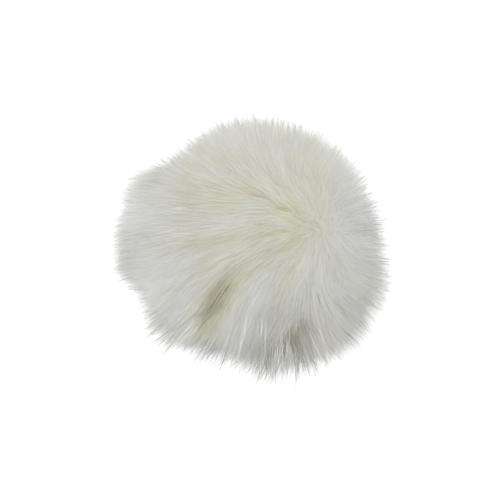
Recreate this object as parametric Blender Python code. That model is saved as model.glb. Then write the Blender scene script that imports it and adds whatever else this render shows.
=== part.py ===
"""Faux-fur pom pom: one ball of long-pile fabric, its fur combed away from a crown.

The real one is a disc of knitted faux fur drawn up with a thread round a ball of stuffing, the fur
outwards. What shows is the fur alone, so the part is one solid: an uneven, stuffed ball with tapered
locks of pile fused to it by their roots. It stands on a small flat spot, the fabric's drawn-up side,
where it is also sewn or snapped to a hat or a bag.

Frame: metres, +Z up, origin at the centre of the flat spot. The show side looks out along -Y and is
raised by SHOW_TILT above the horizon.
"""

import math
import random

import bmesh
import bpy
from mathutils import Euler, Matrix, Quaternion, Vector

# Driving sizes
BALL_RADIUS = 0.0490  # centre of the ball to the face of the drawn-up fabric
FLAT_RADIUS = 0.0180  # the flat spot that it stands on
LOCK_COUNT = 300  # before those that would grow out of the flat spot are left out
LOCK_WIDTH = 0.0088  # a lock at its root, across the way it lies
LOCK_THICKNESS = 0.0038
LOCK_LENGTH = 0.0182  # of pile outside the ball, along the lock
LOCK_LENGTH_SPREAD = 0.16  # share by which lengths differ
ROOT_DEPTH = 0.0030  # of each lock, sunk in the ball
LOWEST_ROOT = 0.0040  # a lock that would start nearer the floor than this isn't there
LOWEST_LENGTH = 0.0100  # the lowest locks, pressed flat under the ball, are this long
FREE_HEIGHT = 0.0200  # and those that start this high have their whole length

# The way the pile lies
SHOW_TILT = math.radians(45.0)
CROWN = (0.560, 0.150)  # the crown, to the right and up on the show side, in ball radii
CROWDING = 0.42  # how much closer the locks stand at the crown than on average
SCATTER = math.radians(1.8)  # how far a root lies off its place in an even spread
LEANS = (
    # angle from the crown deg, lean from upright deg: flat beside the crown, freer at the back
    (0.0, 34.0),
    (14.0, 64.0),
    (50.0, 75.0),
    (80.0, 66.0),
    (110.0, 47.0),
    (180.0, 30.0),
)
LEAN_SPREAD = math.radians(6.0)
STRAY_TURN = math.radians(11.0)  # how far a lock turns off the way the pile is combed
DROOP = 0.08  # how far a lock's tip hangs, as a share of its length

START_SHARE = 0.30  # of a lock's length, over which it bends from near upright to its heading

# Shape of a lock, root to tip: share of the length, share of the width
LOCK_SIDES = 3
LOCK_STATIONS = (
    (0.00, 1.00),
    (0.32, 0.98),
    (0.68, 0.66),
    (1.00, 0.05),
)

# Unevenness of the stuffed ball. The clock angle runs anticlockwise on the show side, from its right,
# and "facing" is how far the lump lies from the outline towards the show side.
LUMPS = (
    # clock deg, facing deg, height m, spread deg
    (168.0, 5.0, 0.0070, 27.0),
    (151.0, 5.0, 0.0056, 8.0),
    (121.0, 5.0, -0.0034, 17.0),
    (191.0, 5.0, 0.0024, 8.0),
    (205.0, 5.0, -0.0056, 9.0),
    (221.0, 5.0, 0.0034, 9.0),
    (256.0, 5.0, -0.0106, 21.0),
    (291.0, 5.0, 0.0016, 10.0),
    (326.0, 5.0, 0.0047, 30.0),
    (341.0, 5.0, 0.0036, 10.0),
    (9.0, 5.0, -0.0036, 17.0),
    (38.0, 5.0, 0.0010, 8.0),
    (72.0, 5.0, 0.0018, 12.0),
    (100.0, 5.0, 0.0034, 9.0),
    (60.0, -45.0, 0.0022, 26.0),
    (150.0, -50.0, 0.0006, 30.0),
    (300.0, -40.0, 0.0018, 24.0),
    (20.0, 40.0, 0.0016, 22.0),
    (195.0, 42.0, 0.0014, 20.0),
)

# The main gaps between the locks of the show side: a place to the right and up, and its reach, in ball
# radii. Locks that would end there are short.
GAPS = (
    (-0.27, -0.38, 0.16),
    (-0.41, -0.58, 0.15),
    (0.34, -0.70, 0.15),
    (0.25, -0.88, 0.12),
    (0.86, -0.46, 0.13),
)
SHORT_LOCK = 0.55  # of a lock's own length

SEED = 4
FIBRE_COLOUR = (0.80, 0.79, 0.73, 1.0)
FLOOR_CLEARANCE = 0.00005

FLAT_HEIGHT = math.sqrt(BALL_RADIUS**2 - FLAT_RADIUS**2)  # centre of the ball above the floor
CENTRE = Vector((0.0, 0.0, FLAT_HEIGHT))
UP = Vector((0.0, 0.0, 1.0))
SHOW_RIGHT = Vector((1.0, 0.0, 0.0))
SHOW_UP = Vector((0.0, math.sin(SHOW_TILT), math.cos(SHOW_TILT)))
SHOW_OUT = Vector((0.0, -math.cos(SHOW_TILT), math.sin(SHOW_TILT)))


def crown_direction():
    """Unit vector from the ball's centre to the crown, from which the pile is combed away."""
    right, up = CROWN
    out = math.sqrt(1.0 - right**2 - up**2)
    return SHOW_RIGHT * right + SHOW_UP * up + SHOW_OUT * out


def lump_direction(clock_deg, facing_deg):
    clock = math.radians(clock_deg)
    facing = math.radians(facing_deg)
    in_outline = SHOW_RIGHT * math.cos(clock) + SHOW_UP * math.sin(clock)
    return in_outline * math.cos(facing) + SHOW_OUT * math.sin(facing)


LUMP_TABLE = [
    (lump_direction(clock, facing), height, math.radians(spread))
    for clock, facing, height, spread in LUMPS
]
CROWN_DIRECTION = crown_direction()


def unevenness(direction):
    """How far the ball stands proud of a true sphere in this direction."""
    total = 0.0
    for centre, height, spread in LUMP_TABLE:
        angle = direction.angle(centre)
        total += height * math.exp(-((angle / spread) ** 2))
    return total


def ball_point(direction):
    return CENTRE + direction * (BALL_RADIUS + unevenness(direction))


def ball_material():
    material = bpy.data.materials.new("ivory_acrylic_pile")
    material.use_nodes = True
    shader = material.node_tree.nodes["Principled BSDF"]
    shader.inputs["Base Color"].default_value = FIBRE_COLOUR
    shader.inputs["Roughness"].default_value = 0.85
    shader.inputs["Metallic"].default_value = 0.0
    return material


def make_ball(collection):
    """The stuffed ball: an icosphere pushed out into its lumps, cut level at the floor."""
    mesh = bpy.data.meshes.new("fur_ball")
    ball = bpy.data.objects.new("fur_ball", mesh)
    collection.objects.link(ball)
    shape = bmesh.new()
    bmesh.ops.create_icosphere(shape, subdivisions=4, radius=1.0)
    for vertex in shape.verts:
        vertex.co = ball_point(vertex.co.normalized())
    cut = bmesh.ops.bisect_plane(
        shape,
        geom=shape.verts[:] + shape.edges[:] + shape.faces[:],
        dist=1e-6,
        plane_co=(0.0, 0.0, 0.0),
        plane_no=(0.0, 0.0, -1.0),
        clear_outer=True,
    )
    rim = [item for item in cut["geom_cut"] if isinstance(item, bmesh.types.BMEdge)]
    bmesh.ops.edgeloop_fill(shape, edges=rim)
    bmesh.ops.recalc_face_normals(shape, faces=shape.faces[:])
    shape.to_mesh(mesh)
    shape.free()
    mesh.materials.append(ball_material())
    return ball


def spread_directions(count):
    """Directions spread over a sphere on a spiral about the crown, closest together at the crown."""
    golden_turn = math.pi * (3.0 - math.sqrt(5.0))
    across = CROWN_DIRECTION.orthogonal().normalized()
    beside = CROWN_DIRECTION.cross(across)
    found = []
    for index in range(count):
        share = (index + 0.5) / count
        share *= 1.0 - CROWDING * (1.0 - share)
        height = 1.0 - 2.0 * share
        reach = math.sqrt(1.0 - height**2)
        turn = golden_turn * index
        sideways = across * math.cos(turn) + beside * math.sin(turn)
        found.append(CROWN_DIRECTION * height + sideways * reach)
    return found


def lean_at(direction):
    """Lean of the pile from upright, at its angle from the crown."""
    from_crown = math.degrees(direction.angle(CROWN_DIRECTION))
    for (near, near_lean), (far, far_lean) in zip(LEANS, LEANS[1:]):
        if from_crown <= far:
            share = (from_crown - near) / (far - near)
            return math.radians(near_lean + (far_lean - near_lean) * share)
    return math.radians(LEANS[-1][1])


def freedom_at(root_height):
    """How free of the floor a lock is with its root this high: none under the ball, up to 1."""
    share = (root_height - LOWEST_ROOT) / (FREE_HEIGHT - LOWEST_ROOT)
    return min(max(share, 0.0), 1.0)


def heading_at(direction, lean, turn, steepest):
    """Which way a lock points. Where the floor stops it going down, it splays out along the floor."""
    combed = (direction * direction.dot(CROWN_DIRECTION) - CROWN_DIRECTION).normalized()
    combed.rotate(Quaternion(direction, turn))
    heading = direction * math.cos(lean) + combed * math.sin(lean) - UP * DROOP
    heading.normalize()
    if heading.z >= -steepest:
        return heading
    outward = Vector((direction.x, direction.y, 0.0)).normalized()
    level = Vector((heading.x, heading.y, 0.0))
    pressed = -heading.z - steepest
    level += outward * (pressed + max(0.0, -level.dot(outward)))
    return level.normalized() * math.sqrt(1.0 - steepest**2) - UP * steepest


def ends_in_gap(direction, length, lean, turn):
    """Whether this lock's tip would lie in one of the main gaps of the show side."""
    heading = heading_at(direction, lean, turn, 1.0)
    tip = (ball_point(direction) + heading * length - CENTRE).normalized()
    right, up = tip.dot(SHOW_RIGHT), tip.dot(SHOW_UP)
    return tip.dot(SHOW_OUT) > 0.0 and any(
        math.hypot(right - gap_right, up - gap_up) < reach for gap_right, gap_up, reach in GAPS
    )


def lock_template():
    """One straight lock, unit sized: a three-sided prism along +Z, ridge up, with a ring a station."""
    shape = bmesh.new()
    bmesh.ops.create_cone(
        shape,
        cap_ends=True,
        segments=LOCK_SIDES,
        radius1=1.0,
        radius2=1.0,
        depth=1.0,
        matrix=Matrix.Translation((0.0, 0.0, 0.5)),
    )
    ridge = max(shape.verts, key=lambda vertex: vertex.co.y)
    turn = math.pi / 2 - math.atan2(ridge.co.y, ridge.co.x)
    bmesh.ops.rotate(shape, verts=shape.verts[:], matrix=Matrix.Rotation(turn, 3, "Z"))
    for share, _ in LOCK_STATIONS[1:-1]:
        bmesh.ops.bisect_plane(
            shape,
            geom=shape.verts[:] + shape.edges[:] + shape.faces[:],
            dist=1e-6,
            plane_co=(0.0, 0.0, share),
            plane_no=(0.0, 0.0, 1.0),
        )
    template = bpy.data.meshes.new("lock_template")
    shape.to_mesh(template)
    shape.free()
    return template


def station_width(share):
    return min(LOCK_STATIONS, key=lambda station: abs(station[0] - share))[1]


def bent_lock(template, direction, full_length, lean, turn):
    """A copy of the straight lock, bent along its way over the ball."""
    root = ball_point(direction)
    freedom = freedom_at(root.z)
    length = LOWEST_LENGTH + (full_length - LOWEST_LENGTH) * freedom
    steepest = (root.z - FLOOR_CLEARANCE - 0.5 * LOCK_THICKNESS * LOCK_STATIONS[-1][1]) / length
    heading = heading_at(direction, lean, turn, min(steepest, 1.0))
    start = (direction + heading).normalized()
    start.z = max(start.z, -steepest)
    side = direction.cross(heading)
    if side.length < 0.05:
        side = direction.orthogonal()
    side.z *= freedom
    side.normalize()

    def at(share):
        first = start * (2.0 * share * (1.0 - share) * START_SHARE)
        second = (start * START_SHARE + heading * (1.0 - START_SHARE)) * share**2
        return root + (first + second) * length

    half_width = 0.5 * LOCK_WIDTH / math.sin(math.pi / LOCK_SIDES)
    half_thickness = LOCK_THICKNESS / (1.0 + math.cos(math.pi / LOCK_SIDES))
    if heading.cross(side).z < 0.0:
        side = -side
    mesh = template.copy()
    for vertex in mesh.vertices:
        share = vertex.co.z
        tangent = (at(share + 0.02) - at(share - 0.02)).normalized()
        upward = tangent.cross(side).normalized()
        width = station_width(share)
        across = side * (vertex.co.x * half_width * width)
        through = upward * (vertex.co.y * half_thickness * width)
        sunk = start * (-ROOT_DEPTH if share < 0.01 else 0.0)
        vertex.co = at(share) + across + through + sunk
    return mesh


def make_locks(collection):
    """All the locks as one mesh of separate bodies, to be joined to the ball."""
    chance = random.Random(SEED)
    template = lock_template()
    shape = bmesh.new()
    for direction in spread_directions(LOCK_COUNT):
        off_place = Euler([SCATTER * chance.uniform(-1.0, 1.0) for _ in range(3)])
        direction.rotate(off_place)
        length = LOCK_LENGTH * (1.0 + LOCK_LENGTH_SPREAD * chance.uniform(-1.0, 1.0))
        lean = lean_at(direction) + LEAN_SPREAD * chance.uniform(-1.0, 1.0)
        turn = STRAY_TURN * chance.uniform(-1.0, 1.0)
        if ball_point(direction).z < LOWEST_ROOT:
            continue
        if ends_in_gap(direction, length, lean, turn):
            length *= SHORT_LOCK
        lock = bent_lock(template, direction, length, max(0.0, lean), turn)
        shape.from_mesh(lock)
        bpy.data.meshes.remove(lock)
    bmesh.ops.recalc_face_normals(shape, faces=shape.faces[:])
    mesh = bpy.data.meshes.new("locks")
    shape.to_mesh(mesh)
    shape.free()
    bpy.data.meshes.remove(template)
    locks = bpy.data.objects.new("locks", mesh)
    locks.hide_render = True
    locks.display_type = "WIRE"
    collection.objects.link(locks)
    return locks


def main():
    for existing in list(bpy.data.objects):
        bpy.data.objects.remove(existing, do_unlink=True)
    parts = bpy.data.collections.new("pom_pom")
    helpers = bpy.data.collections.new("joined_shapes")
    bpy.context.scene.collection.children.link(parts)
    bpy.context.scene.collection.children.link(helpers)
    ball = make_ball(parts)
    locks = make_locks(helpers)
    join = ball.modifiers.new("fuse_locks", "BOOLEAN")
    join.operation = "UNION"
    join.solver = "EXACT"
    join.use_self = True
    join.object = locks


main()
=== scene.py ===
"""Ivory faux-fur pom pom, resting on a white board.

The real one is a disc of long-pile faux fur, drawn up with a thread round a ball of stuffing with the fur
outwards. Its pile is combed away from a crown to the right of the middle, in layers and locks that part here
and there down to the yellower roots.

Metres, +Z up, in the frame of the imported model. Places on the show side are given to the right of and above
the ball's middle, as seen square on to that side, which faces along -Y and 45 degrees up.
"""

import math

import bpy
import numpy as np
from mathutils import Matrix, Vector, kdtree


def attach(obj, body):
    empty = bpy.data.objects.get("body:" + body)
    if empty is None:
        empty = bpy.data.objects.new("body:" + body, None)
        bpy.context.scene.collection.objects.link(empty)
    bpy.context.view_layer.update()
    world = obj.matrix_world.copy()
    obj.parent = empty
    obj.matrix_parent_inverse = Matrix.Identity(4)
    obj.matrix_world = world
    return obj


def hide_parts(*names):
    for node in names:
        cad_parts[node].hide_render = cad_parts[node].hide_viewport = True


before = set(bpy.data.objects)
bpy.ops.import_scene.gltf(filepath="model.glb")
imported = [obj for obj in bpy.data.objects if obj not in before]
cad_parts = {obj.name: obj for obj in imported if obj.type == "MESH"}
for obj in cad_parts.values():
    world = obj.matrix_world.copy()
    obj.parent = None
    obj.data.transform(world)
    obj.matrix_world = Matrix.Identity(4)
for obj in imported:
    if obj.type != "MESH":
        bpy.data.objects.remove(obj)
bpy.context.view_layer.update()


# ---------------------------------------------------------------------------------------------------------
# The stuffed ball: polyester filling in the drawn-up knitted backing of the fur. Only its colour shows, deep
# between the hairs. It is uneven, as the pile that stands on it is, and pressed flat where it rests.

BALL_RADIUS = 0.0402  # of the backing, on which the pile stands
MIDDLE_HEIGHT = 0.0456  # of the ball's middle above the table
REST_HEIGHT = 0.0075  # of the pressed backing, on the pile that lies under it
KNIT_PITCH = 0.0016  # of the backing's stitches
STITCH_RELIEF = 0.0004
BLOTCHES_PER_METRE = 90.0  # of the backing's darker patches
BACKING_COLOUR = "#EAE2C4"
BLOTCH_COLOUR = "#E2D8B4"

# The show side: how far up it looks, its right, its up and the way it faces
SHOW_TILT = math.radians(45.0)
SHOW_RIGHT = np.array((1.0, 0.0, 0.0))
SHOW_UP = np.array((0.0, math.sin(SHOW_TILT), math.cos(SHOW_TILT)))
SHOW_OUT = np.array((0.0, -math.cos(SHOW_TILT), math.sin(SHOW_TILT)))
MIDDLE = np.array((0.0, 0.0, MIDDLE_HEIGHT))

LUMPS = (
    # clock deg, facing deg: where on the ball, as show_heading says. height, spread deg: how proud, how broad
    (168.0, 5.0, 0.0070, 27.0),
    (144.0, 5.0, 0.0086, 10.0),
    (121.0, 5.0, -0.0052, 17.0),
    (190.0, 5.0, 0.0040, 8.0),
    (207.0, 5.0, -0.0082, 10.0),
    (220.0, 5.0, 0.0050, 9.0),
    (257.0, 5.0, -0.0158, 21.0),
    (291.0, 5.0, 0.0014, 10.0),
    (328.0, 5.0, 0.0050, 28.0),
    (341.0, 5.0, 0.0040, 10.0),
    (12.0, 5.0, -0.0032, 17.0),
    (38.0, 5.0, 0.0010, 8.0),
    (72.0, 5.0, 0.0014, 12.0),
    (99.0, 5.0, 0.0032, 9.0),
    (60.0, -45.0, 0.0022, 26.0),
    (150.0, -50.0, -0.0020, 30.0),
    (300.0, -40.0, 0.0018, 24.0),
    (20.0, 40.0, 0.0016, 22.0),
    (195.0, 42.0, 0.0014, 20.0),
)


def unit(vectors):
    """Each row, or the one vector, at length 1."""
    return vectors / np.maximum(np.linalg.norm(vectors, axis=-1, keepdims=True), 1e-12)


def show_heading(angle_deg, facing_deg):
    """A way on the show side, anticlockwise from its right, and turned that far towards the viewer."""
    angle, facing = math.radians(angle_deg), math.radians(facing_deg)
    seen = SHOW_RIGHT * math.cos(angle) + SHOW_UP * math.sin(angle)
    return seen * math.cos(facing) + SHOW_OUT * math.sin(facing)


def angle_from(place, directions):
    """How far round the ball each direction is from a place."""
    return np.arccos(np.clip(directions @ place, -1.0, 1.0))


def ball_radius(directions):
    """How far the backing stands from the ball's middle in these directions."""
    radius = np.full(directions.shape[:-1], BALL_RADIUS)
    for clock_deg, facing_deg, height, spread_deg in LUMPS:
        off = angle_from(show_heading(clock_deg, facing_deg), directions)
        radius += height * np.exp(-((off / math.radians(spread_deg)) ** 2))
    return radius


def on_backing(directions):
    """The places on the backing in these directions."""
    return MIDDLE + directions * ball_radius(directions)[:, None]


def linear_colour(hex_colour, alpha=1.0):
    """An sRGB colour such as "#E8E2C9" as the linear values that a shader takes."""
    channels = [int(hex_colour[at : at + 2], 16) / 255 for at in (1, 3, 5)]
    return [c / 12.92 if c <= 0.04045 else ((c + 0.055) / 1.055) ** 2.4 for c in channels] + [alpha]


def add_node(tree, kind, inputs=None, **settings):
    """A node with its settings. inputs gives each socket a value, or another node's output to link to."""
    node = tree.nodes.new(kind)
    for name, value in settings.items():
        setattr(node, name, value)
    for name, value in (inputs or {}).items():
        if isinstance(value, bpy.types.NodeSocket):
            tree.links.new(value, node.inputs[name])
        else:
            node.inputs[name].default_value = value
    return node


def new_material(name):
    """A material with an empty tree but for its Principled shader, its tree, and that shader."""
    material = bpy.data.materials.new(name)
    material.use_nodes = True
    return material, material.node_tree, material.node_tree.nodes["Principled BSDF"]


bpy.ops.object.select_all(action="DESELECT")
bpy.ops.mesh.primitive_ico_sphere_add(subdivisions=5, radius=1.0, location=(0.0, 0.0, 0.0))
ball = bpy.context.active_object
ball.name = "stuffed_ball"
corners = np.empty(len(ball.data.vertices) * 3)
ball.data.vertices.foreach_get("co", corners)
corners = on_backing(unit(corners.reshape(-1, 3)))
corners[:, 2] = np.maximum(corners[:, 2], REST_HEIGHT)
ball.data.vertices.foreach_set("co", corners.ravel())
bpy.ops.object.shade_smooth()

# Knitted polyester backing, brushed: matt, with a soft stitch relief and slightly uneven colour.
knit_backing, tree, shader = new_material("brushed_knit_backing")
place = add_node(tree, "ShaderNodeTexCoord").outputs["Object"]
stitches = add_node(
    tree, "ShaderNodeTexVoronoi", {"Vector": place, "Scale": 1.0 / KNIT_PITCH}, feature="SMOOTH_F1"
)
relief = add_node(
    tree,
    "ShaderNodeBump",
    {"Height": stitches.outputs["Distance"], "Strength": 0.6, "Distance": STITCH_RELIEF},
)
blotches = add_node(tree, "ShaderNodeTexNoise", {"Vector": place, "Scale": BLOTCHES_PER_METRE, "Detail": 3.0})
shade = add_node(tree, "ShaderNodeMix", {"Factor": blotches.outputs["Fac"]}, data_type="RGBA")
shade.inputs["A"].default_value = linear_colour(BACKING_COLOUR)
shade.inputs["B"].default_value = linear_colour(BLOTCH_COLOUR)
tree.links.new(shade.outputs["Result"], shader.inputs["Base Color"])
tree.links.new(relief.outputs["Normal"], shader.inputs["Normal"])
shader.inputs["Roughness"].default_value = 0.9
ball.data.materials.append(knit_backing)

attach(ball, "root")
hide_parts("fur_ball")


# ---------------------------------------------------------------------------------------------------------
# The pile: acrylic hair 20 to 25 mm long, knitted into the backing and combed away from the crown. Hairs
# cling to each other in strands, and strands in locks, and some part so that the roots show between them.
# Each hair here stands for the few real ones beside it. The strands and locks are only ways that it follows.

HAIR_COUNT = 195000  # before some are left out at the back and below
LEFT_OUT = 0.58  # share of the hairs at the back and below, where the others are thicker
THICKER = 0.7  # by this share
BACK_EDGE = (-0.05, 0.35)  # cosine of how far a root faces away from the viewer, as that begins and is full
BELOW_EDGE = (0.55, 0.80)  # and of how far down it faces
HAIR_SCATTER = 0.4  # how far a root is off its even place, in spacings
HAIR_THICKNESS = 0.000082  # across a hair where it is thickest
HAIR_LENGTH = 0.0216
HAIR_LENGTH_SPREAD = 0.07
OUTLINE_UNEVEN = 1.4  # by how much more lengths differ in the outline
SHORT_SHARE = 0.20  # of hairs that are underfur, and end inside the pile
SHORT_LENGTH = 0.62  # of the others' length
SHORT_SPREAD = (0.85, 1.2)  # of that length, from hair to hair
SHORT_PULL = 0.5  # of the others' pull towards their strand
HAIR_STATIONS = (0.0, 0.45, 1.0)  # along a hair: its root, where it is thickest and bends, and its tip
ROOT_DEPTH = 0.0012  # of a hair, sunk in the backing
TABLE_CLEARANCE = 0.00012  # of the lowest hairs, which splay along the table

LOCK_COUNT = 190
LOCK_SCATTER = 0.22
LOCK_TURN = math.radians(8.0)  # how far a lock turns its own way along the surface
LOCK_LEAN = math.radians(5.0)  # and up or down
LOCK_HEIGHT = 0.0009  # by which locks lie over or under each other
LOCK_LENGTH_SPREAD = 0.10
LOCK_CURL = 0.5
LOCK_PULL = 0.15  # how far a strand's tip is drawn to the tip of its lock
LOCK_PULL_POWER = 1.4  # how late on the way to the tip

STRAND_COUNT = 7000
STRAND_SCATTER = 0.35
STRAND_TURN = math.radians(2.0)  # how far each strand goes its own way in its lock
STRAND_LEAN = math.radians(2.0)
STRAND_HEIGHT = 0.00015
STRAND_LENGTH_SPREAD = 0.025
STRAND_CURL = 0.2
STRAND_PULL_POWER = 1.2
STRAND_PULL_SPREAD = (0.55, 1.15)  # from hair to hair

HAIR_TURN = math.radians(4.0)  # how far each hair goes its own way in its strand
HAIR_LEAN = math.radians(2.5)
HAIR_CURL = 0.6
LOOSE_TURN = math.radians(14.0)  # of hairs that cling to no strand
LOOSE_LEAN = math.radians(14.0)
LOOSE_LENGTH = (1.0, 1.2)

# Each pair is for the smooth pile, and for where it is tufted
STRAND_ROUGH = (0.08, 2.28)  # how far strands go their own way
TURN_FELT = (0.45, 1.0)  # how far a strand turns with its lock
LEAN_FELT = (0.2, 1.0)  # and leans and lies high with it
LENGTH_FELT = (0.3, 1.0)  # and is as long and curls as it does
STRAND_PULL = (0.02, 0.28)  # how far a hair's tip is drawn to the tip of its strand
HAIR_ROUGH = (0.5, 1.0)  # how far hairs go their own way. The second is for the outline too
LOOSE_SHARE = (0.008, 0.058)  # of hairs that cling to no strand. The second is for the outline too

TUFTS_EDGE = (0.30, 0.90)  # how far below the show side's middle tufts begin and are full, in ball radii
OUTLINE_REACH = 0.5  # how near to the outline a hair is in it, in ball radii
ROUGH_REACH = 0.4  # and goes its own way

CROWN = (0.0555, 0.0080)  # to the right of and above the ball's middle
SHOW_RADIUS = 0.0580  # of the pile's face, on which those places lie
WHORL = (0.0302, 0.0104)  # where the hairs point at the viewer
WHORL_SPREAD = math.radians(20.0)
WHORL_SHORTER = 0.28  # by how much of its length the pile there is shorter
LEAN_AWAY = math.radians(58.0)  # from upright, some way from the crown
LEAN_AT_BACK = math.radians(46.0)
BACK_ANGLES = (math.radians(70.0), math.radians(150.0))  # from the crown, over which that lean is reached
CROWN_SPREAD = math.radians(26.0)  # angle from the crown over which the pile lies down
CROWN_POWER = 1.3  # how late over that angle
PLAIN_COMBING = 0.03  # how much of the plain way, away from the crown, there is in each place
BACKWARDS = 2.5  # how much the pile turns backwards behind the outline, so it lies down there too
ROOT_SHARE = 0.30  # how far a hair has turned from upright to its heading where it leaves the backing
BENT_BY = 0.60  # share of the length by which it has turned fully
STEEPEST_LEAN = math.radians(86.0)
TIP_CURL = 0.15  # how far a hair's tip turns its own way
WHORL_TIP_CURL = 0.4  # and at the whorl
DROOP = 0.06  # how far a hair's tip hangs
PATH_STEPS = 6

COMBING_REACH = 0.17  # how far each row below is felt, in ball radii
COMBING = (
    # right, up: a place on the show side. heading deg, facing deg: the way the hairs there point
    (-0.0060, -0.0060, 202.0, 10.0),
    (-0.0090, 0.0110, 196.0, 5.0),
    (0.0100, 0.0130, 197.0, 14.0),
    (0.0150, 0.0230, 167.0, 14.0),
    (0.0220, 0.0010, 208.0, 20.0),
    (0.0100, -0.0030, 212.0, 12.0),
    (0.0300, 0.0110, 192.0, 32.0),
    (0.0430, 0.0220, 34.0, 4.0),
    (0.0430, 0.0040, 350.0, 6.0),
    (0.0510, 0.0110, 6.0, -4.0),
    (0.0565, 0.0100, 4.0, -8.0),
    (0.0420, 0.0340, 46.0, -2.0),
    (0.0300, 0.0300, 78.0, 10.0),
    (0.0260, 0.0450, 66.0, -4.0),
    (0.0030, 0.0500, 93.0, 4.0),
    (0.0060, 0.0370, 120.0, 8.0),
    (-0.0020, 0.0270, 174.0, 0.0),
    (-0.0110, 0.0400, 142.0, -6.0),
    (-0.0340, 0.0380, 152.0, -20.0),
    (-0.0200, 0.0520, 122.0, -12.0),
    (-0.0250, 0.0200, 178.0, -20.0),
    (-0.0430, 0.0230, 172.0, -28.0),
    (-0.0340, 0.0110, 186.0, -26.0),
    (-0.0530, 0.0080, 181.0, -22.0),
    (-0.0530, -0.0030, 192.0, -18.0),
    (-0.0250, -0.0030, 194.0, -18.0),
    (-0.0410, -0.0120, 211.0, -12.0),
    (-0.0290, -0.0190, 225.0, -8.0),
    (-0.0180, -0.0240, 240.0, -6.0),
    (-0.0340, -0.0380, 222.0, -8.0),
    (-0.0040, -0.0330, 253.0, -10.0),
    (0.0140, -0.0240, 246.0, 0.0),
    (0.0270, -0.0190, 268.0, 4.0),
    (0.0070, -0.0470, 250.0, -6.0),
    (0.0350, -0.0380, 286.0, -5.0),
    (0.0400, -0.0140, 314.0, 4.0),
    (0.0460, -0.0290, 316.0, -6.0),
    (0.0530, -0.0100, 345.0, -4.0),
)

PARTINGS = (
    # right, up, half length, half width: gaps between locks, along the way the pile lies there
    (0.0106, 0.0189, 0.0075, 0.0005),
    (0.0060, 0.0066, 0.0060, 0.0004),
    (-0.0158, -0.0232, 0.0110, 0.0007),
    (-0.0200, -0.0270, 0.0100, 0.0006),
    (-0.0246, -0.0370, 0.0080, 0.0006),
    (0.0196, -0.0430, 0.0080, 0.0010),
    (0.0128, -0.0490, 0.0070, 0.0010),
    (0.0498, -0.0263, 0.0070, 0.0012),
    (-0.0440, -0.0345, 0.0070, 0.0012),
)
PROUD_LOCKS = (
    # right, up, half length, half width, height, gathering: locks that stand proud of the rest, or lie deep
    # (below 0), and how far they are drawn together
    (-0.0035, -0.0290, 0.0150, 0.0055, 0.0034, 0.20),
    (0.0175, -0.0150, 0.0110, 0.0045, 0.0030, 0.20),
    (0.0285, -0.0130, 0.0100, 0.0020, 0.0020, 0.30),
    (-0.0136, -0.0180, 0.0056, 0.0056, -0.0034, 0.0),
    (-0.0192, -0.0246, 0.0080, 0.0066, -0.0030, 0.0),
    (-0.0232, -0.0345, 0.0080, 0.0054, -0.0036, 0.0),
    (0.0196, -0.0440, 0.0075, 0.0060, -0.0060, 0.0),
    (0.0132, -0.0510, 0.0080, 0.0070, -0.0044, 0.0),
    (0.0498, -0.0268, 0.0070, 0.0046, -0.0060, 0.0),
    (0.0526, 0.0092, 0.0060, 0.0032, -0.0028, 0.0),
    (-0.0452, -0.0341, 0.0070, 0.0040, -0.0030, 0.0),
    (0.0104, 0.0184, 0.0080, 0.0028, -0.0022, 0.0),
    (0.0066, 0.0062, 0.0080, 0.0026, -0.0016, 0.0),
    (0.0120, 0.0000, 0.0090, 0.0018, -0.0012, 0.0),
    (0.0080, 0.0130, 0.0110, 0.0024, 0.0012, 0.20),
    (-0.0332, -0.0004, 0.0140, 0.0036, -0.0030, 0.0),
    (-0.0370, -0.0100, 0.0120, 0.0070, 0.0034, 0.10),
    (-0.0260, -0.0250, 0.0110, 0.0030, 0.0014, 0.20),
    (0.0380, -0.0360, 0.0090, 0.0036, 0.0014, 0.20),
    (0.0430, 0.0240, 0.0080, 0.0050, 0.0014, 0.10),
    (0.0430, 0.0000, 0.0080, 0.0050, 0.0016, 0.10),
    (-0.0530, 0.0110, 0.0090, 0.0050, 0.0016, 0.10),
)
LAYERS = (
    # right, up, half length, width, height: an edge along the pile, where it lies over the pile below
    (-0.0330, 0.0014, 0.0200, 0.0110, 0.0034),
    (-0.0120, -0.0095, 0.0110, 0.0080, 0.0030),
    (0.0150, 0.0300, 0.0140, 0.0070, 0.0014),
)
LAYER_EDGE = (-0.0010, 0.0014)  # across the edge of a layer, over which it drops
LOCK_EDGE = 1.15  # in half widths, where a proud lock ends
PARTING_SHOULDER = 0.004  # below the pile's face, from where on out a parting has its full width
PUSHED_REACH = 5.0  # in half widths, over which a parting moves the hairs beside it
SAME_SIDE = 0.5  # cosine of how far from a place all that is felt at most
PARTED_SHARE = 0.93  # of hairs that a parting moves. The others cross it


def show_direction(right, up):
    """From the ball's middle to a place on the show side."""
    out = math.sqrt(max(SHOW_RADIUS**2 - right**2 - up**2, 0.0))
    return unit(SHOW_RIGHT * right + SHOW_UP * up + SHOW_OUT * out)


crown = show_direction(*CROWN)
whorl = show_direction(*WHORL)
combed_places = np.array([show_direction(right, up) for right, up, _, _ in COMBING])
combed_headings = np.array([show_heading(heading, facing) for _, _, heading, facing in COMBING])


def smooth_step(values, low, high):
    """0 up to low, 1 from high on, and a smooth rise between them."""
    share = np.clip((values - low) / (high - low), 0.0, 1.0)
    return share * share * (3.0 - 2.0 * share)


def between(pair, share):
    """From the first of a pair at share 0 to the second at share 1."""
    return pair[0] + (pair[1] - pair[0]) * share


chance = np.random.default_rng(11)


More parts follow.
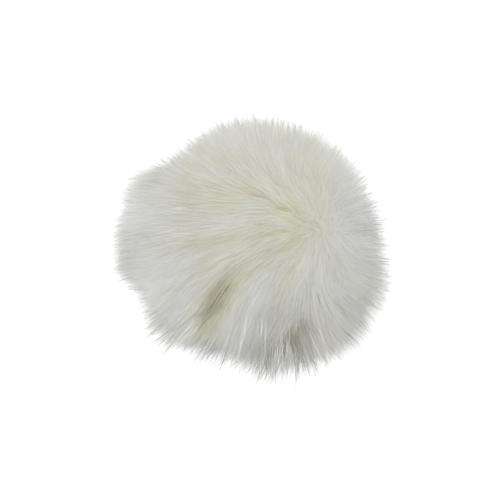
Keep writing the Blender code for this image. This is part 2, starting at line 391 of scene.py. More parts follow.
def spread_directions(count, scatter):
    """Directions spread evenly over a sphere on a spiral, each a little off its place."""
    index = np.arange(count)
    height = 1.0 - 2.0 * (index + 0.5) / count
    reach = np.sqrt(1.0 - height**2)
    bearing = index * math.pi * (3.0 - math.sqrt(5.0))
    even = np.stack([reach * np.cos(bearing), reach * np.sin(bearing), height], 1)
    spacing = math.sqrt(4.0 * math.pi / count)
    return unit(even + chance.normal(0.0, scatter * spacing, (count, 3)))


def near_whorl(directions):
    """1 at the whorl, where the hairs point at the viewer and stand every which way, and 0 far from it."""
    return np.exp(-((angle_from(whorl, directions) / WHORL_SPREAD) ** 2))


def near_outline(directions, reach):
    """1 in the outline that the viewer sees, and 0 well within or behind it."""
    return np.exp(-(((directions @ SHOW_OUT) / reach) ** 2))


def tufted(directions):
    """0 where the pile lies smooth, above on the show side, and 1 where it breaks into tufts, below."""
    return smooth_step(-(directions @ SHOW_UP), *TUFTS_EDGE)


def combed(directions):
    """Along the surface, the way the pile is combed there, and its lean from upright."""
    away = unit(directions * (directions @ crown)[:, None] - crown)
    from_crown = angle_from(crown, directions)
    lean = LEAN_AWAY * (1.0 - np.exp(-((from_crown / CROWN_SPREAD) ** CROWN_POWER)))
    lean += (LEAN_AT_BACK - LEAN_AWAY) * smooth_step(from_crown, *BACK_ANGLES)
    plain = directions * np.cos(lean)[:, None] + away * np.sin(lean)[:, None]
    weights = np.exp((directions @ combed_places.T - 1.0) / COMBING_REACH**2)
    rows = weights @ combed_headings
    behind = np.maximum(-(directions @ SHOW_OUT), 0.0) * np.linalg.norm(rows, axis=1)
    heading = unit(rows - SHOW_OUT * (BACKWARDS * behind)[:, None] + plain * PLAIN_COMBING)
    upright = np.clip((heading * directions).sum(1), -1.0, 1.0)
    return unit(heading - directions * upright[:, None]), np.arccos(upright)


def above_table(headings, heights, step, outwards):
    """Headings turned level where the next step would go into the table, so that the hair splays along it."""
    lowest = (TABLE_CLEARANCE - heights) / step
    pressed = np.maximum(lowest - headings[:, 2], 0.0)
    level = unit(headings * (1.0, 1.0, 0.0) + unit(outwards * (1.0, 1.0, 0.0)) * pressed[:, None])
    steep = np.clip(lowest, -1.0, 0.0)
    splayed = level * np.sqrt(1.0 - steep**2)[:, None]
    splayed[:, 2] = steep
    return np.where((pressed > 0.0)[:, None], splayed, headings)


def paths(directions, lean_more, turn, length, height, curl, stations=HAIR_STATIONS):
    """Points along each hair, strand or lock: a row for each, and in it a point for each station."""
    points = MIDDLE + directions * (ball_radius(directions) - ROOT_DEPTH)[:, None]
    points[:, 2] = np.maximum(points[:, 2], TABLE_CLEARANCE)
    places = [points]
    upright = unit(points - MIDDLE)
    step = length / PATH_STEPS
    cosine, sine = np.cos(turn)[:, None], np.sin(turn)[:, None]
    for number in range(PATH_STEPS):
        share = (number + 0.5) / PATH_STEPS
        outwards = unit(points - MIDDLE)
        way, lean = combed(outwards)
        lean = np.clip(lean + lean_more, 0.0, STEEPEST_LEAN)[:, None]
        way = way * cosine + np.cross(outwards, way) * sine
        turned = ROOT_SHARE + (1.0 - ROOT_SHARE) * smooth_step(share, 0.0, BENT_BY)
        heading = unit(outwards * np.cos(lean) + way * np.sin(lean))
        heading = unit(upright * (1.0 - turned) + heading * turned)
        curled = between((TIP_CURL, WHORL_TIP_CURL), near_whorl(outwards))
        heading = heading + curl * curled[:, None] * share
        heading[:, 2] -= DROOP * share
        heading = above_table(unit(heading), points[:, 2], step, outwards)
        points = points + heading * step[:, None]
        places.append(points)
    places = np.stack(places, 1)
    along = np.asarray(stations) * PATH_STEPS
    before = np.minimum(along.astype(int), PATH_STEPS - 1)
    beyond = (along - before)[None, :, None]
    places = places[:, before] * (1.0 - beyond) + places[:, before + 1] * beyond
    lift = height[:, None] * np.asarray(stations)
    return places + unit(places - MIDDLE) * lift[:, :, None]


def drawn_to(guides, followers, pull, power, stations=HAIR_STATIONS):
    """Paths drawn to the paths that they follow, by a pull that grows from nothing at the root to the tip."""
    return followers + (guides - followers) * pull * np.asarray(stations)[None, :, None] ** power


def nearest_of(directions, centres):
    """For each direction, the number of the centre nearest to it."""
    centre_tree = kdtree.KDTree(len(centres))
    for number, centre in enumerate(centres):
        centre_tree.insert(Vector(centre), number)
    centre_tree.balance()
    return np.array([centre_tree.find(Vector(direction))[1] for direction in directions])


def beside_place(points, right, up):
    """How far points are along the pile from a place on the show side, across it, and out from the middle.

    After those come the way across, and which of the points are on that side at all.
    """
    place = show_direction(right, up)
    along = combed(place[None])[0][0]
    across = np.cross(place, along)
    reach = np.linalg.norm(points - MIDDLE, axis=-1)
    outwards = (points - MIDDLE) / reach[..., None]
    off = (outwards - place) * SHOW_RADIUS
    return off @ along, off @ across, reach, across, outwards @ place > SAME_SIDE


def part_and_raise(points, moved):
    """Lifts the proud locks, lays the layers over each other and opens the partings."""
    for right, up, half_length, half_width, height, gathering in PROUD_LOCKS:
        along, off, reach, across, facing = beside_place(points, right, up)
        held = np.exp(-((along / half_length) ** 2) - (off / (LOCK_EDGE * half_width)) ** 6) * facing
        held *= smooth_step(reach, BALL_RADIUS, SHOW_RADIUS)
        points = points + unit(points - MIDDLE) * (held * height)[..., None]
        points = points - across * (held * gathering * off)[..., None]
    for right, up, half_length, width, height in LAYERS:
        along, off, reach, _, facing = beside_place(points, right, up)
        lift = height * (smooth_step(-off, *LAYER_EDGE) - 0.5)
        lift *= np.exp(-((along / half_length) ** 2) - (off / width) ** 2) * facing
        lift *= smooth_step(reach, BALL_RADIUS, SHOW_RADIUS)
        points = points + unit(points - MIDDLE) * lift[..., None]
    for right, up, half_length, half_width in PARTINGS:
        along, off, reach, across, facing = beside_place(points, right, up)
        gap = half_width * np.clip(1.0 - (along / half_length) ** 2, 0.0, 1.0) * facing
        gap *= smooth_step(reach, BALL_RADIUS, SHOW_RADIUS - PARTING_SHOULDER) * moved[:, None]
        side = np.where(off[:, 1:].mean(1) >= 0.0, 1.0, -1.0)[:, None]
        beyond = np.maximum(off * side, 0.0)
        away = side * (np.sqrt(beyond**2 + gap**2) - off * side) * (gap > 0.0)
        points = points + across * (away * np.exp(-((off / (PUSHED_REACH * half_width)) ** 2)))[..., None]
    return points


lock_ways = spread_directions(LOCK_COUNT, LOCK_SCATTER)
lock_turn = chance.normal(0.0, LOCK_TURN, LOCK_COUNT)
lock_lean = chance.normal(0.0, LOCK_LEAN, LOCK_COUNT)
lock_height = chance.normal(0.0, LOCK_HEIGHT, LOCK_COUNT)
lock_length = HAIR_LENGTH * (1.0 + chance.uniform(-LOCK_LENGTH_SPREAD, LOCK_LENGTH_SPREAD, LOCK_COUNT))
lock_curl = unit(chance.normal(0.0, 1.0, (LOCK_COUNT, 3))) * LOCK_CURL
lock_paths = paths(lock_ways, lock_lean, lock_turn, lock_length, lock_height, lock_curl)

strand_ways = spread_directions(STRAND_COUNT, STRAND_SCATTER)
strand_lock = nearest_of(strand_ways, lock_ways)
strand_tufted = tufted(strand_ways)
strand_rough = between(STRAND_ROUGH, strand_tufted)
strand_turn = chance.normal(0.0, STRAND_TURN, STRAND_COUNT) * strand_rough
strand_turn += lock_turn[strand_lock] * between(TURN_FELT, strand_tufted)
strand_lean = chance.normal(0.0, STRAND_LEAN, STRAND_COUNT) * strand_rough
strand_lean += lock_lean[strand_lock] * between(LEAN_FELT, strand_tufted)
strand_height = chance.normal(0.0, STRAND_HEIGHT, STRAND_COUNT) * strand_rough
strand_height += lock_height[strand_lock] * between(LEAN_FELT, strand_tufted)
strand_length = HAIR_LENGTH + (lock_length[strand_lock] - HAIR_LENGTH) * between(LENGTH_FELT, strand_tufted)
strand_length *= 1.0 + chance.normal(0.0, STRAND_LENGTH_SPREAD, STRAND_COUNT) * strand_rough
strand_curl = unit(chance.normal(0.0, 1.0, (STRAND_COUNT, 3))) * STRAND_CURL * strand_rough[:, None]
strand_curl += lock_curl[strand_lock] * between(LENGTH_FELT, strand_tufted)[:, None]
strand_paths = paths(strand_ways, strand_lean, strand_turn, strand_length, strand_height, strand_curl)
strand_paths = drawn_to(lock_paths[strand_lock], strand_paths, LOCK_PULL, LOCK_PULL_POWER)

hair_ways = spread_directions(HAIR_COUNT, HAIR_SCATTER)
behind = smooth_step(-(hair_ways @ SHOW_OUT), *BACK_EDGE)
sparse = np.maximum(behind, smooth_step(-hair_ways[:, 2], *BELOW_EDGE))
kept = chance.random(HAIR_COUNT) > LEFT_OUT * sparse
hair_ways = hair_ways[kept]
hair_count = len(hair_ways)
hair_thickness = HAIR_THICKNESS * (1.0 + THICKER * sparse[kept])
hair_strand = nearest_of(hair_ways, strand_ways)
hair_tufted = strand_tufted[hair_strand]
hair_rough = between(HAIR_ROUGH, np.maximum(hair_tufted, near_outline(hair_ways, ROUGH_REACH)))
in_outline = near_outline(hair_ways, OUTLINE_REACH)
hair_turn = strand_turn[hair_strand] + chance.normal(0.0, HAIR_TURN, hair_count) * hair_rough
hair_lean = strand_lean[hair_strand] + chance.normal(0.0, HAIR_LEAN, hair_count) * hair_rough
uneven = chance.normal(0.0, HAIR_LENGTH_SPREAD, hair_count) * (1.0 + OUTLINE_UNEVEN * in_outline)
hair_length = strand_length[hair_strand] * (1.0 + uneven)
short = chance.random(hair_count) < SHORT_SHARE
hair_length[short] *= SHORT_LENGTH * chance.uniform(*SHORT_SPREAD, short.sum())
hair_length *= 1.0 - WHORL_SHORTER * near_whorl(hair_ways)
hair_pull = between(STRAND_PULL, hair_tufted) * chance.uniform(*STRAND_PULL_SPREAD, hair_count)
loose = chance.random(hair_count) < between(LOOSE_SHARE, np.maximum(in_outline, hair_tufted))
hair_pull[loose] = 0.0
hair_turn[loose] += chance.normal(0.0, LOOSE_TURN, loose.sum())
hair_lean[loose] -= LOOSE_LEAN * chance.random(loose.sum())
hair_length[loose] *= chance.uniform(*LOOSE_LENGTH, loose.sum())
own_curl = unit(chance.normal(0.0, 1.0, (hair_count, 3))) * HAIR_CURL * hair_rough[:, None]
hair_curl = strand_curl[hair_strand] + own_curl
hair_paths = paths(hair_ways, hair_lean, hair_turn, hair_length, strand_height[hair_strand], hair_curl)
hair_pull[short] *= SHORT_PULL
hair_pull = hair_pull[:, None, None]
hair_paths = drawn_to(strand_paths[hair_strand], hair_paths, hair_pull, STRAND_PULL_POWER)
hair_paths = part_and_raise(hair_paths, chance.random(hair_count) < PARTED_SHARE)
hair_paths[:, :, 2] = np.maximum(hair_paths[:, :, 2], TABLE_CLEARANCE)


# ---------------------------------------------------------------------------------------------------------
# The hairs over the whorl: the same acrylic hair, knitted into the backing with the rest. The pile below
# would show end on there, so these lie flat over it and fan out every way from the whorl's middle.

WHORL_COUNT = 9000
WHORL_REACH = 0.15  # over which they start, in ball radii
WHORL_SCATTER = 0.09  # how far they fan out their own way
WHORL_OVERLAP = 0.14  # by which they start on the far side of its middle
WHORL_RADIUS = 0.0490  # from the ball's middle, of their starts
WHORL_THICKNESS = 0.0008  # over which those lie at different depths
WHORL_LENGTHS = (0.009, 0.024)
WHORL_RISE = 0.36  # outwards for each unit along the face, from the start to the bend
WHORL_FALL = 0.14  # inwards from there
TONE_AHEAD = 0.05  # of its start, in ball radii: the strand below that a hair takes its tone from

cap_ways = unit(whorl + chance.normal(0.0, WHORL_REACH, (WHORL_COUNT, 3)))
cap_away = unit(cap_ways - whorl + chance.normal(0.0, WHORL_SCATTER, (WHORL_COUNT, 3)))
cap_ways = unit(cap_ways - cap_away * WHORL_OVERLAP)
cap_roots = MIDDLE + cap_ways * chance.normal(WHORL_RADIUS, WHORL_THICKNESS, (WHORL_COUNT, 1))
cap_away = unit(cap_away - cap_ways * (cap_away * cap_ways).sum(1, keepdims=True))
cap_length = chance.uniform(*WHORL_LENGTHS, (WHORL_COUNT, 1))
bend = HAIR_STATIONS[1]
cap_middles = cap_roots + cap_length * bend * unit(cap_ways * WHORL_RISE + cap_away)
cap_tips = cap_middles + cap_length * (1.0 - bend) * unit(cap_away - cap_ways * WHORL_FALL)
cap_paths = part_and_raise(np.stack([cap_roots, cap_middles, cap_tips], 1), np.ones(WHORL_COUNT, bool))
cap_strand = nearest_of(cap_ways + cap_away * TONE_AHEAD, strand_ways)

hair_ways = np.concatenate([hair_ways, cap_ways])
hair_paths = np.concatenate([hair_paths, cap_paths])
hair_strand = np.concatenate([hair_strand, cap_strand])
hair_thickness = np.concatenate([hair_thickness, np.full(WHORL_COUNT, HAIR_THICKNESS)])


# ---------------------------------------------------------------------------------------------------------
# The tones of the pile: undyed ivory hair, a little different from tuft to tuft and from hair to hair. Over
# that, light and shade are painted on by where the hair is seen: yellower and darker where the locks part,
# partly the hair's own yellower tone and partly painted shade; whiter where they stand proud, painted light;
# and grey where the pile turns away from the light, painted shade.

TUFT_COUNT = 1300  # of strands that have one tone
TUFT_SCATTER = 0.35
TUFT_TONE = 0.05  # how far tufts differ from each other, and then strands and hairs
STRAND_TONE = 0.025
TUFTED_TONE = 2.0  # by how much more strands differ where the pile is tufted
HAIR_TONE = 0.02
MIDDLE_TONE = 0.5
TONE_LIMITS = (0.02, 0.98)
TONES_UP_TO = 0.8  # across the hairs' map, from the yellowest to the whitest
SHADE_GREY_TONES = (0.87, 0.92)  # and beyond them hairs painted grey, as shade
OUTER_PART = 0.7  # of the way from a hair's bend to its tip, by which its place in the picture is judged
BEHIND_OUTLINE = -0.020  # towards the viewer from the ball's middle, where tints and greys end
CAMERA_DISTANCE = 0.5129  # from the ball's middle

TINTS_AND_PAINTED_LIGHT = (
    # right, up, half length, half width, turn deg, shift: where the hair is painted yellower and darker,
    # below 0, partly its own yellower tone and partly painted shade, or whiter, painted light
    (0.0115, 0.0189, 0.0095, 0.0028, -8.0, -0.38),
    (0.0160, 0.0230, 0.0060, 0.0014, -32.0, -0.32),
    (0.0138, 0.0148, 0.0080, 0.0012, 14.0, -0.30),
    (0.0000, 0.0097, 0.0075, 0.0016, 16.0, -0.24),
    (0.0074, 0.0065, 0.0085, 0.0024, 20.0, -0.34),
    (0.0134, -0.0005, 0.0105, 0.0018, 37.0, -0.33),
    (0.0097, 0.0314, 0.0085, 0.0026, -10.0, -0.22),
    (-0.0060, 0.0277, 0.0075, 0.0030, 2.0, -0.20),
    (0.0272, 0.0226, 0.0035, 0.0045, 0.0, -0.13),
    (0.0295, 0.0115, 0.0040, 0.0036, 0.0, -0.18),
    (0.0150, 0.0130, 0.0170, 0.0130, 10.0, -0.15),
    (-0.0134, 0.0291, 0.0280, 0.0120, 8.0, -0.06),
    (-0.0320, 0.0009, 0.0150, 0.0036, 3.0, -0.20),
    (-0.0270, -0.0110, 0.0080, 0.0050, 50.0, -0.16),
    (-0.0202, -0.0280, 0.0130, 0.0066, 62.0, -0.40),
    (-0.0150, -0.0170, 0.0040, 0.0030, 10.0, -0.24),
    (0.0200, -0.0390, 0.0060, 0.0044, 75.0, -0.30),
    (0.0170, -0.0120, 0.0080, 0.0018, 74.0, -0.26),
    (0.0235, 0.0185, 0.0093, 0.0015, -42.0, 0.40),
    (0.0148, 0.0168, 0.0050, 0.0009, 15.0, 0.30),
    (0.0120, 0.0102, 0.0110, 0.0011, 14.0, 0.22),
    (-0.0020, -0.0330, 0.0170, 0.0060, 72.0, 0.42),
    (0.0205, -0.0220, 0.0140, 0.0050, 80.0, 0.40),
    (0.0282, -0.0162, 0.0100, 0.0026, 90.0, 0.40),
    (0.0390, -0.0240, 0.0110, 0.0070, -45.0, 0.34),
    (-0.0570, 0.0083, 0.0200, 0.0110, 75.0, 0.40),
    (-0.0420, -0.0110, 0.0140, 0.0070, 60.0, 0.34),
    (-0.0370, -0.0250, 0.0120, 0.0060, 60.0, 0.36),
    (0.0480, 0.0060, 0.0280, 0.0120, 90.0, 0.36),
)
SHADE_GREYS = (
    # right, up, half length, half width, turn deg, share: where so many of the hairs are painted grey, as
    # shade
    (0.0500, -0.0290, 0.0100, 0.0070, 45.0, 0.38),
    (-0.0450, -0.0352, 0.0080, 0.0060, -45.0, 0.24),
    (-0.0200, -0.0480, 0.0180, 0.0056, -14.0, 0.14),
    (-0.0202, -0.0280, 0.0120, 0.0056, 62.0, 0.30),
    (0.0110, -0.0500, 0.0190, 0.0080, 0.0, 0.44),
    (0.0126, -0.0500, 0.0070, 0.0050, 70.0, 0.80),
    (0.0205, -0.0400, 0.0090, 0.0060, 75.0, 0.52),
    (0.0070, -0.0390, 0.0080, 0.0060, 60.0, 0.24),
    (0.0550, 0.0085, 0.0070, 0.0050, -50.0, 0.46),
    (0.0570, -0.0120, 0.0160, 0.0046, 90.0, 0.32),
    (-0.0050, 0.0450, 0.0300, 0.0100, 0.0, 0.07),
    (-0.0620, -0.0030, 0.0100, 0.0050, 90.0, 0.36),
    (-0.0440, 0.0370, 0.0120, 0.0050, 35.0, 0.12),
    (0.0500, 0.0220, 0.0120, 0.0050, -65.0, 0.26),
)


def felt_where_seen(points, rows):
    """For each row, how much each hair feels of it, by where its outer part is seen on the show side."""
    faces = (1.0 - OUTER_PART) * points[:, 1] + OUTER_PART * points[:, 2] - MIDDLE
    depth = faces @ SHOW_OUT
    nearer = CAMERA_DISTANCE / (CAMERA_DISTANCE - depth)
    seen_right, seen_up = faces @ SHOW_RIGHT * nearer, faces @ SHOW_UP * nearer
    felt = []
    for right, up, half_length, half_width, turn_deg, strength in rows:
        cosine, sine = math.cos(math.radians(turn_deg)), math.sin(math.radians(turn_deg))
        along = (seen_right - right) * cosine + (seen_up - up) * sine
        off = (seen_up - up) * cosine - (seen_right - right) * sine
        felt.append(strength * np.exp(-((along / half_length) ** 2) - (off / half_width) ** 2))
    return np.stack(felt) * (depth > BEHIND_OUTLINE)


tuft_ways = spread_directions(TUFT_COUNT, TUFT_SCATTER)
tuft_tone = chance.normal(0.0, TUFT_TONE, TUFT_COUNT)
strand_tone = tuft_tone[nearest_of(strand_ways, tuft_ways)]
strand_tone += chance.normal(0.0, STRAND_TONE, STRAND_COUNT) * (1.0 + TUFTED_TONE * strand_tufted)
hair_tone_and_painted_light = MIDDLE_TONE + strand_tone[hair_strand] + chance.normal(0.0, HAIR_TONE, len(hair_ways))
# Painted light and shade: the tints make each hair lighter, or darker and yellower, by where it is seen.
tint_and_painted_light = felt_where_seen(hair_paths, TINTS_AND_PAINTED_LIGHT)
hair_tone_and_painted_light += np.minimum(tint_and_painted_light, 0.0).min(0) + np.maximum(tint_and_painted_light, 0.0).max(0)
hair_tone_and_painted_light = TONES_UP_TO * np.clip(hair_tone_and_painted_light, *TONE_LIMITS)
# Painted shade: where the pile is in shade, a share of the hairs takes grey tones.
shade_greyed = chance.random(len(hair_tone_and_painted_light)) < felt_where_seen(hair_paths, SHADE_GREYS).max(0)
hair_tone_and_painted_light[shade_greyed] = chance.uniform(*SHADE_GREY_TONES, shade_greyed.sum())


# ---------------------------------------------------------------------------------------------------------
# Stray guard hairs: of the same acrylic, longer, coarser and more upright, so they stand out beyond the rest.
# A few at a time cling together in a wisp. Most of them are brushed in where the show side lies smooth.

WISP_COUNT = 5600  # of stray hairs that cling together
WISP_HAIRS = 3  # in each
WISP_SCATTER = 0.8
WISP_REACH = 0.028  # over which their roots stand, in ball radii
WISP_TURN = math.radians(13.0)  # how far a wisp turns from the way of the pile
WISP_UPRIGHT = 38.0  # degrees, by which a wisp is nearer to upright than the pile at most
WISP_LONGER = 0.7  # by how much of the pile's length at most
WISP_LONGER_POWER = 1.3  # above 1, few are that long
WISPS_BRUSHED_IN = 0.99  # share of them, where the show side lies smooth
TUFTED_LEFT = 0.6  # share of those that isn't, where the pile is tufted
BRUSHED_EDGE = (-0.08, 0.22)  # cosine of how far a root faces the viewer, as that begins and is full
PALE_SHARE = 0.30  # of wisps that catch the light
PALE_FROM = 0.40  # all of them do in the smooth pile, where it faces the viewer more than this cosine
SMOOTH_UP_TO = 0.5  # how tufted the smooth pile is at most
PALE_TONES = (0.5, 0.7)
STRAY_SHADE_TONES = (0.93, 0.98)  # of the rest: painted shade, dark grey, as they are seen against the light
STRAY_TURN = math.radians(6.0)  # how far a hair in a wisp goes its own way
STRAY_LEAN = math.radians(5.0)
STRAY_LENGTHS = (0.75, 1.06)  # of its wisp's length
STRAY_THICKNESS = 0.00016
STRAY_STATIONS = (0.0, 0.66, 1.0)  # as HAIR_STATIONS
STRAY_PULL = 0.6  # how far its tip is drawn to the wisp's at most
LONGEST_REACH = 0.0738  # of a stray hair, from the ball's middle
LOWEST_ROOT = 0.004  # of a stray hair, above the table

wisp_ways = spread_directions(WISP_COUNT, WISP_SCATTER)
wisp_facing = wisp_ways @ SHOW_OUT
wisp_tufted = tufted(wisp_ways)
wisp_turn = chance.normal(0.0, WISP_TURN, WISP_COUNT)
wisp_lean = -np.radians(chance.uniform(0.0, WISP_UPRIGHT, WISP_COUNT))
wisp_length = HAIR_LENGTH * (1.0 + WISP_LONGER * chance.random(WISP_COUNT) ** WISP_LONGER_POWER)
brushed_in = WISPS_BRUSHED_IN * smooth_step(wisp_facing, *BRUSHED_EDGE) * (1.0 - TUFTED_LEFT * wisp_tufted)
wisp_kept = chance.random(WISP_COUNT) > brushed_in
wisp_curl = unit(chance.normal(0.0, 1.0, (WISP_COUNT, 3)))
wisp_paths = paths(
    wisp_ways, wisp_lean, wisp_turn, wisp_length, np.zeros(WISP_COUNT), wisp_curl, STRAY_STATIONS
)
in_smooth_pile = (wisp_facing > PALE_FROM) & (wisp_tufted < SMOOTH_UP_TO)
wisp_pale = (chance.random(WISP_COUNT) < PALE_SHARE) | in_smooth_pile
pale_tone = chance.uniform(*PALE_TONES, WISP_COUNT)
# Painted shade: wisps that are not pale are given dark grey tones, as they are seen against the light.
wisp_tone_and_shade = np.where(wisp_pale, pale_tone, chance.uniform(*STRAY_SHADE_TONES, WISP_COUNT))

stray_count = WISP_COUNT * WISP_HAIRS
stray_wisp = np.repeat(np.arange(WISP_COUNT), WISP_HAIRS)
stray_ways = unit(wisp_ways[stray_wisp] + chance.normal(0.0, WISP_REACH, (stray_count, 3)))
stray_turn = wisp_turn[stray_wisp] + chance.normal(0.0, STRAY_TURN, stray_count)
stray_lean = wisp_lean[stray_wisp] + chance.normal(0.0, STRAY_LEAN, stray_count)
stray_length = wisp_length[stray_wisp] * chance.uniform(*STRAY_LENGTHS, stray_count)
stray_curl = wisp_curl[stray_wisp] + unit(chance.normal(0.0, 1.0, (stray_count, 3)))
stray_paths = paths(
    stray_ways, stray_lean, stray_turn, stray_length, np.zeros(stray_count), stray_curl, STRAY_STATIONS
)
stray_pull = chance.uniform(0.0, STRAY_PULL, stray_count)[:, None, None]
stray_paths = drawn_to(wisp_paths[stray_wisp], stray_paths, stray_pull, 1.0, STRAY_STATIONS)
stray_paths[:, :, 2] = np.maximum(stray_paths[:, :, 2], TABLE_CLEARANCE)
stray_tone_and_shade = wisp_tone_and_shade[stray_wisp]
stray_shown = wisp_kept[stray_wisp]
stray_shown &= on_backing(stray_ways)[:, 2] > LOWEST_ROOT
stray_shown &= np.linalg.norm(stray_paths[:, 2] - MIDDLE, axis=1) < LONGEST_REACH


# ---------------------------------------------------------------------------------------------------------
# The meshes of all these hairs, of the same ivory acrylic: one for the top, one for those over the whorl,
# one for each eighth of the way round, and one for the stray hairs.

TOP_FROM = 0.72  # how far upwards the hairs' roots face on the top
MAP_HALF_WIDTH = 0.004  # of each face on its map
MAP_MARGIN = 0.004  # above and below a hair on its map
LOWEST_CORNER = 0.00002  # above the table
OFF_UPRIGHT = np.array((0.0, 0.0, 0.01))  # keeps the way beside a hair from vanishing where it stands upright
# Yellower and a little darker towards the root: partly the hair's own colour, partly painted shade for the
# depth between the hairs.
ROOT_TO_TIP = ((0.0, "#E2DDBC"), (0.4, "#FAF9F5"), (0.8, "#FBFDFE"))
# Across the map: dark olive at the low end, painted shade for the partings; the hair's yellower to whiter
# ivory, whitest where light is painted on; from 0.86 on grey, painted shade, for shaded pile and for stray
# hairs against the light.
BY_TONE_LIGHT_AND_SHADE = (
    (0.0, "#A3A08C"),
    (0.08, "#C6C2AC"),
    (0.14, "#DDD5A8"),
    (0.20, "#EBE5BA"),
    (0.30, "#F3EFD8"),
    (0.40, "#F7F6EB"),
    (0.76, "#FFFFFD"),
    (0.86, "#B0B0AA"),
    (0.92, "#A2A29C"),
    (1.0, "#50504A"),
)


def hair_mesh(name, middles, tones_and_painted_light, thickness):
    """One mesh of these hairs, with the map that the material reads: tone with its painted light and shade
    across, root to tip up.

    Each hair is a closed three-sided spindle. It has a point at the root, a ring of three corners where it is
    thickest and bends, and a point at the tip.
    """
    count = len(middles)
    ahead = unit(middles[:, 2] - middles[:, 0])
    beside = unit(np.cross(ahead, unit(middles[:, 0] - MIDDLE) + OFF_UPRIGHT))
    above = np.cross(beside, ahead)
    roll = chance.uniform(0.0, 2.0 * math.pi, count)[:, None]
    half = 0.5 * thickness[:, None]
    ring = []
    for corner in range(3):
        around = roll + corner * 2.0 * math.pi / 3.0
        ring.append(middles[:, 1] + (beside * np.cos(around) + above * np.sin(around)) * half)
    points = np.stack([middles[:, 0], *ring, middles[:, 2]], 1)
    points[:, :, 2] = np.maximum(points[:, :, 2], LOWEST_CORNER)

    faces = np.array([(0, 2, 1), (0, 3, 2), (0, 1, 3), (1, 2, 4), (2, 3, 4), (3, 1, 4)])
    face_count = count * len(faces)
    mesh = bpy.data.meshes.new(name)
    mesh.vertices.add(count * 5)
    mesh.vertices.foreach_set("co", points.ravel())
    mesh.loops.add(face_count * 3)
    mesh.loops.foreach_set("vertex_index", (np.arange(count)[:, None] * 5 + faces.ravel()).ravel())
    mesh.polygons.add(face_count)
    mesh.polygons.foreach_set("loop_start", np.arange(face_count) * 3)
    mesh.polygons.foreach_set("loop_total", np.full(face_count, 3))
    mesh.polygons.foreach_set("use_smooth", np.ones(face_count, bool))
    mesh.update(calc_edges=True)

    across = np.array([(0.0, 1.0, -1.0)] * 3 + [(-1.0, 1.0, 0.0)] * 3).ravel() * MAP_HALF_WIDTH
    ring_at = HAIR_STATIONS[1]
    up = np.array([(0.0, ring_at, ring_at)] * 3 + [(ring_at, ring_at, 1.0)] * 3).ravel()
    map_across = tones_and_painted_light[:, None] + across
    map_up = np.broadcast_to(MAP_MARGIN + (1.0 - 2.0 * MAP_MARGIN) * up, map_across.shape)
    corners_on_map = np.stack([map_across, map_up], 2).astype(np.float32)
    mesh.uv_layers.new(name="OFBake").uv.foreach_set("vector", corners_on_map.ravel())
    return mesh


def add_ramp(tree, along, stops):
    """A colour ramp with these stops, from the first at 0 to the last, read along this output."""
    ramp = add_node(tree, "ShaderNodeValToRGB", {"Fac": along})
    first, last = ramp.color_ramp.elements
    first.color = linear_colour(stops[0][1])
    last.position = stops[-1][0]
    last.color = linear_colour(stops[-1][1])
    for position, colour in stops[1:-1]:
        ramp.color_ramp.elements.new(position).color = linear_colour(colour)
    return ramp.outputs["Color"]


# Ivory modacrylic hair: soft gloss, yellower and a little darker at the root, partly its own colour and
# partly painted shade for the depth between the hairs. Its map also carries the painted light and shade of
# the tints and greys.
acrylic_hair, tree, shader = new_material("ivory_acrylic_hair")
map_place = add_node(tree, "ShaderNodeUVMap", uv_map="OFBake").outputs["UV"]
split = add_node(tree, "ShaderNodeSeparateXYZ", {"Vector": map_place})
tinted = add_node(tree, "ShaderNodeMix", {"Factor": 1.0}, data_type="RGBA", blend_type="MULTIPLY")
tree.links.new(add_ramp(tree, split.outputs["Y"], ROOT_TO_TIP), tinted.inputs["A"])
tree.links.new(add_ramp(tree, split.outputs["X"], BY_TONE_LIGHT_AND_SHADE), tinted.inputs["B"])
tree.links.new(tinted.outputs["Result"], shader.inputs["Base Color"])
shader.inputs["Roughness"].default_value = 0.5
shader.inputs["IOR"].default_value = 1.45

bearing = np.arctan2(hair_ways[:, 1], hair_ways[:, 0])
eighth = np.floor(bearing / (math.pi / 4) + 0.5).astype(int) % 8
on_top = hair_ways[:, 2] > TOP_FROM
over_whorl = np.arange(len(hair_ways)) >= hair_count
groups = {"pile_top": on_top & ~over_whorl, "pile_whorl": over_whorl}
sides = ("right", "back_right", "back", "back_left", "left", "front_left", "front", "front_right")
for number, side in enumerate(sides):
    groups["pile_" + side] = (eighth == number) & ~on_top & ~over_whorl
above_board = on_backing(hair_ways)[:, 2] > 0.0
meshes = []
for name, in_group in groups.items():
    chosen = in_group & above_board
    meshes.append(hair_mesh(name, hair_paths[chosen], hair_tone_and_painted_light[chosen], hair_thickness[chosen]))
stray_thickness = np.full(stray_shown.sum(), STRAY_THICKNESS)
meshes.append(hair_mesh("stray_hairs", stray_paths[stray_shown], stray_tone_and_shade[stray_shown], stray_thickness))
for mesh in meshes:
    mesh.materials.append(acrylic_hair)
    pile = bpy.data.objects.new(mesh.name, mesh)
    bpy.context.scene.collection.objects.link(pile)
    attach(pile, "root")
    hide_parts("fur_ball")


# ---------------------------------------------------------------------------------------------------------
# The studio: a plain white board that shows white to the camera, an even white surround, and one broad
# soft light high on the left of the show side. The camera looks square on to that side.

BOARD_WIDTH = 6.0
BOARD_COLOUR = "#D0D0D0"
BOARD_GLOW = (0.1, 0.9)  # on what stands on it, and as the camera sees it
SURROUND_STRENGTH = 1.01
KEY_WIDTH = 1.0
KEY_POWER = 2.1
KEY_WAY = Vector((-0.65, -0.60, 0.88)).normalized()  # from the ball's middle
KEY_DISTANCE = 0.9
LENS = 80.0
SENSOR = 36.0
OFF_CENTRE = (0.00185, 0.00092)  # of the ball's middle in the picture, to the right and up
PICTURE_GAMMA = 1.5  # lifts the shade between the hairs, as the light that real ones let through does

bpy.ops.mesh.primitive_plane_add(size=BOARD_WIDTH, location=(0.0, 0.0, 0.0))
table = bpy.context.active_object
table.name = "table"
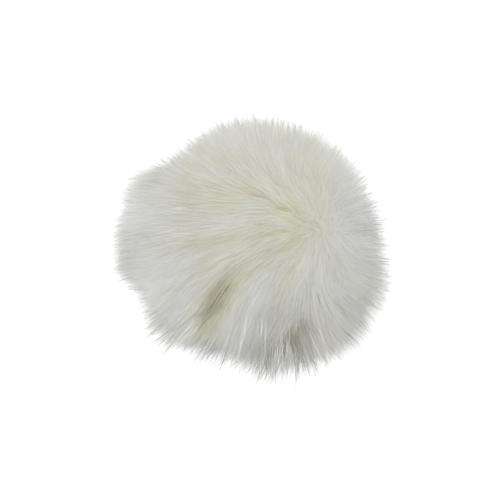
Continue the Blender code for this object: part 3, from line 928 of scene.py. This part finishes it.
# Matt board, painted white: no gloss. It glows white as the camera sees it, painted light that covers most of
# the soft shadow on it, and glows only faintly on what stands on it.
matt_white, tree, shader = new_material("matt_white_board")
shader.inputs["Base Color"].default_value = linear_colour(BOARD_COLOUR)
shader.inputs["Roughness"].default_value = 0.9
shader.inputs["Emission Color"].default_value = linear_colour("#FFFFFF")
seen_by_camera = add_node(tree, "ShaderNodeLightPath").outputs["Is Camera Ray"]
glow = add_node(
    tree,
    "ShaderNodeMath",
    {0: seen_by_camera, 1: BOARD_GLOW[1] - BOARD_GLOW[0], 2: BOARD_GLOW[0]},
    operation="MULTIPLY_ADD",
)
tree.links.new(glow.outputs["Value"], shader.inputs["Emission Strength"])
table.data.materials.append(matt_white)

world = bpy.data.worlds.new("white_surround")
world.use_nodes = True
surround = world.node_tree.nodes["Background"]
surround.inputs["Color"].default_value = linear_colour("#FFFFFF")
surround.inputs["Strength"].default_value = SURROUND_STRENGTH
bpy.context.scene.world = world

soft_box = bpy.data.lights.new("soft_box", "AREA")
soft_box.shape = "DISK"
soft_box.size = KEY_WIDTH
soft_box.energy = KEY_POWER
key = bpy.data.objects.new("soft_box", soft_box)
key.location = Vector(MIDDLE) + KEY_WAY * KEY_DISTANCE
key.rotation_euler = KEY_WAY.to_track_quat("Z", "Y").to_euler()
bpy.context.scene.collection.objects.link(key)

camera_data = bpy.data.cameras.new("camera")
camera_data.lens = LENS
camera_data.sensor_width = SENSOR
camera = bpy.data.objects.new("camera", camera_data)
aim = MIDDLE - SHOW_RIGHT * OFF_CENTRE[0] - SHOW_UP * OFF_CENTRE[1]
camera.location = Vector(aim + SHOW_OUT * CAMERA_DISTANCE)
camera.rotation_euler = Vector(SHOW_OUT).to_track_quat("Z", "Y").to_euler()
bpy.context.scene.collection.objects.link(camera)
bpy.context.scene.camera = camera
bpy.context.scene.view_settings.view_transform = "Standard"
bpy.context.scene.view_settings.gamma = PICTURE_GAMMA

# Light passes on many times between pale hairs, and with fewer bounces the depth of the pile goes dark.
bpy.context.scene.cycles.max_bounces = 32
bpy.context.scene.cycles.diffuse_bounces = 24
bpy.context.scene.cycles.glossy_bounces = 8
bpy.context.scene.cycles.transmission_bounces = 24
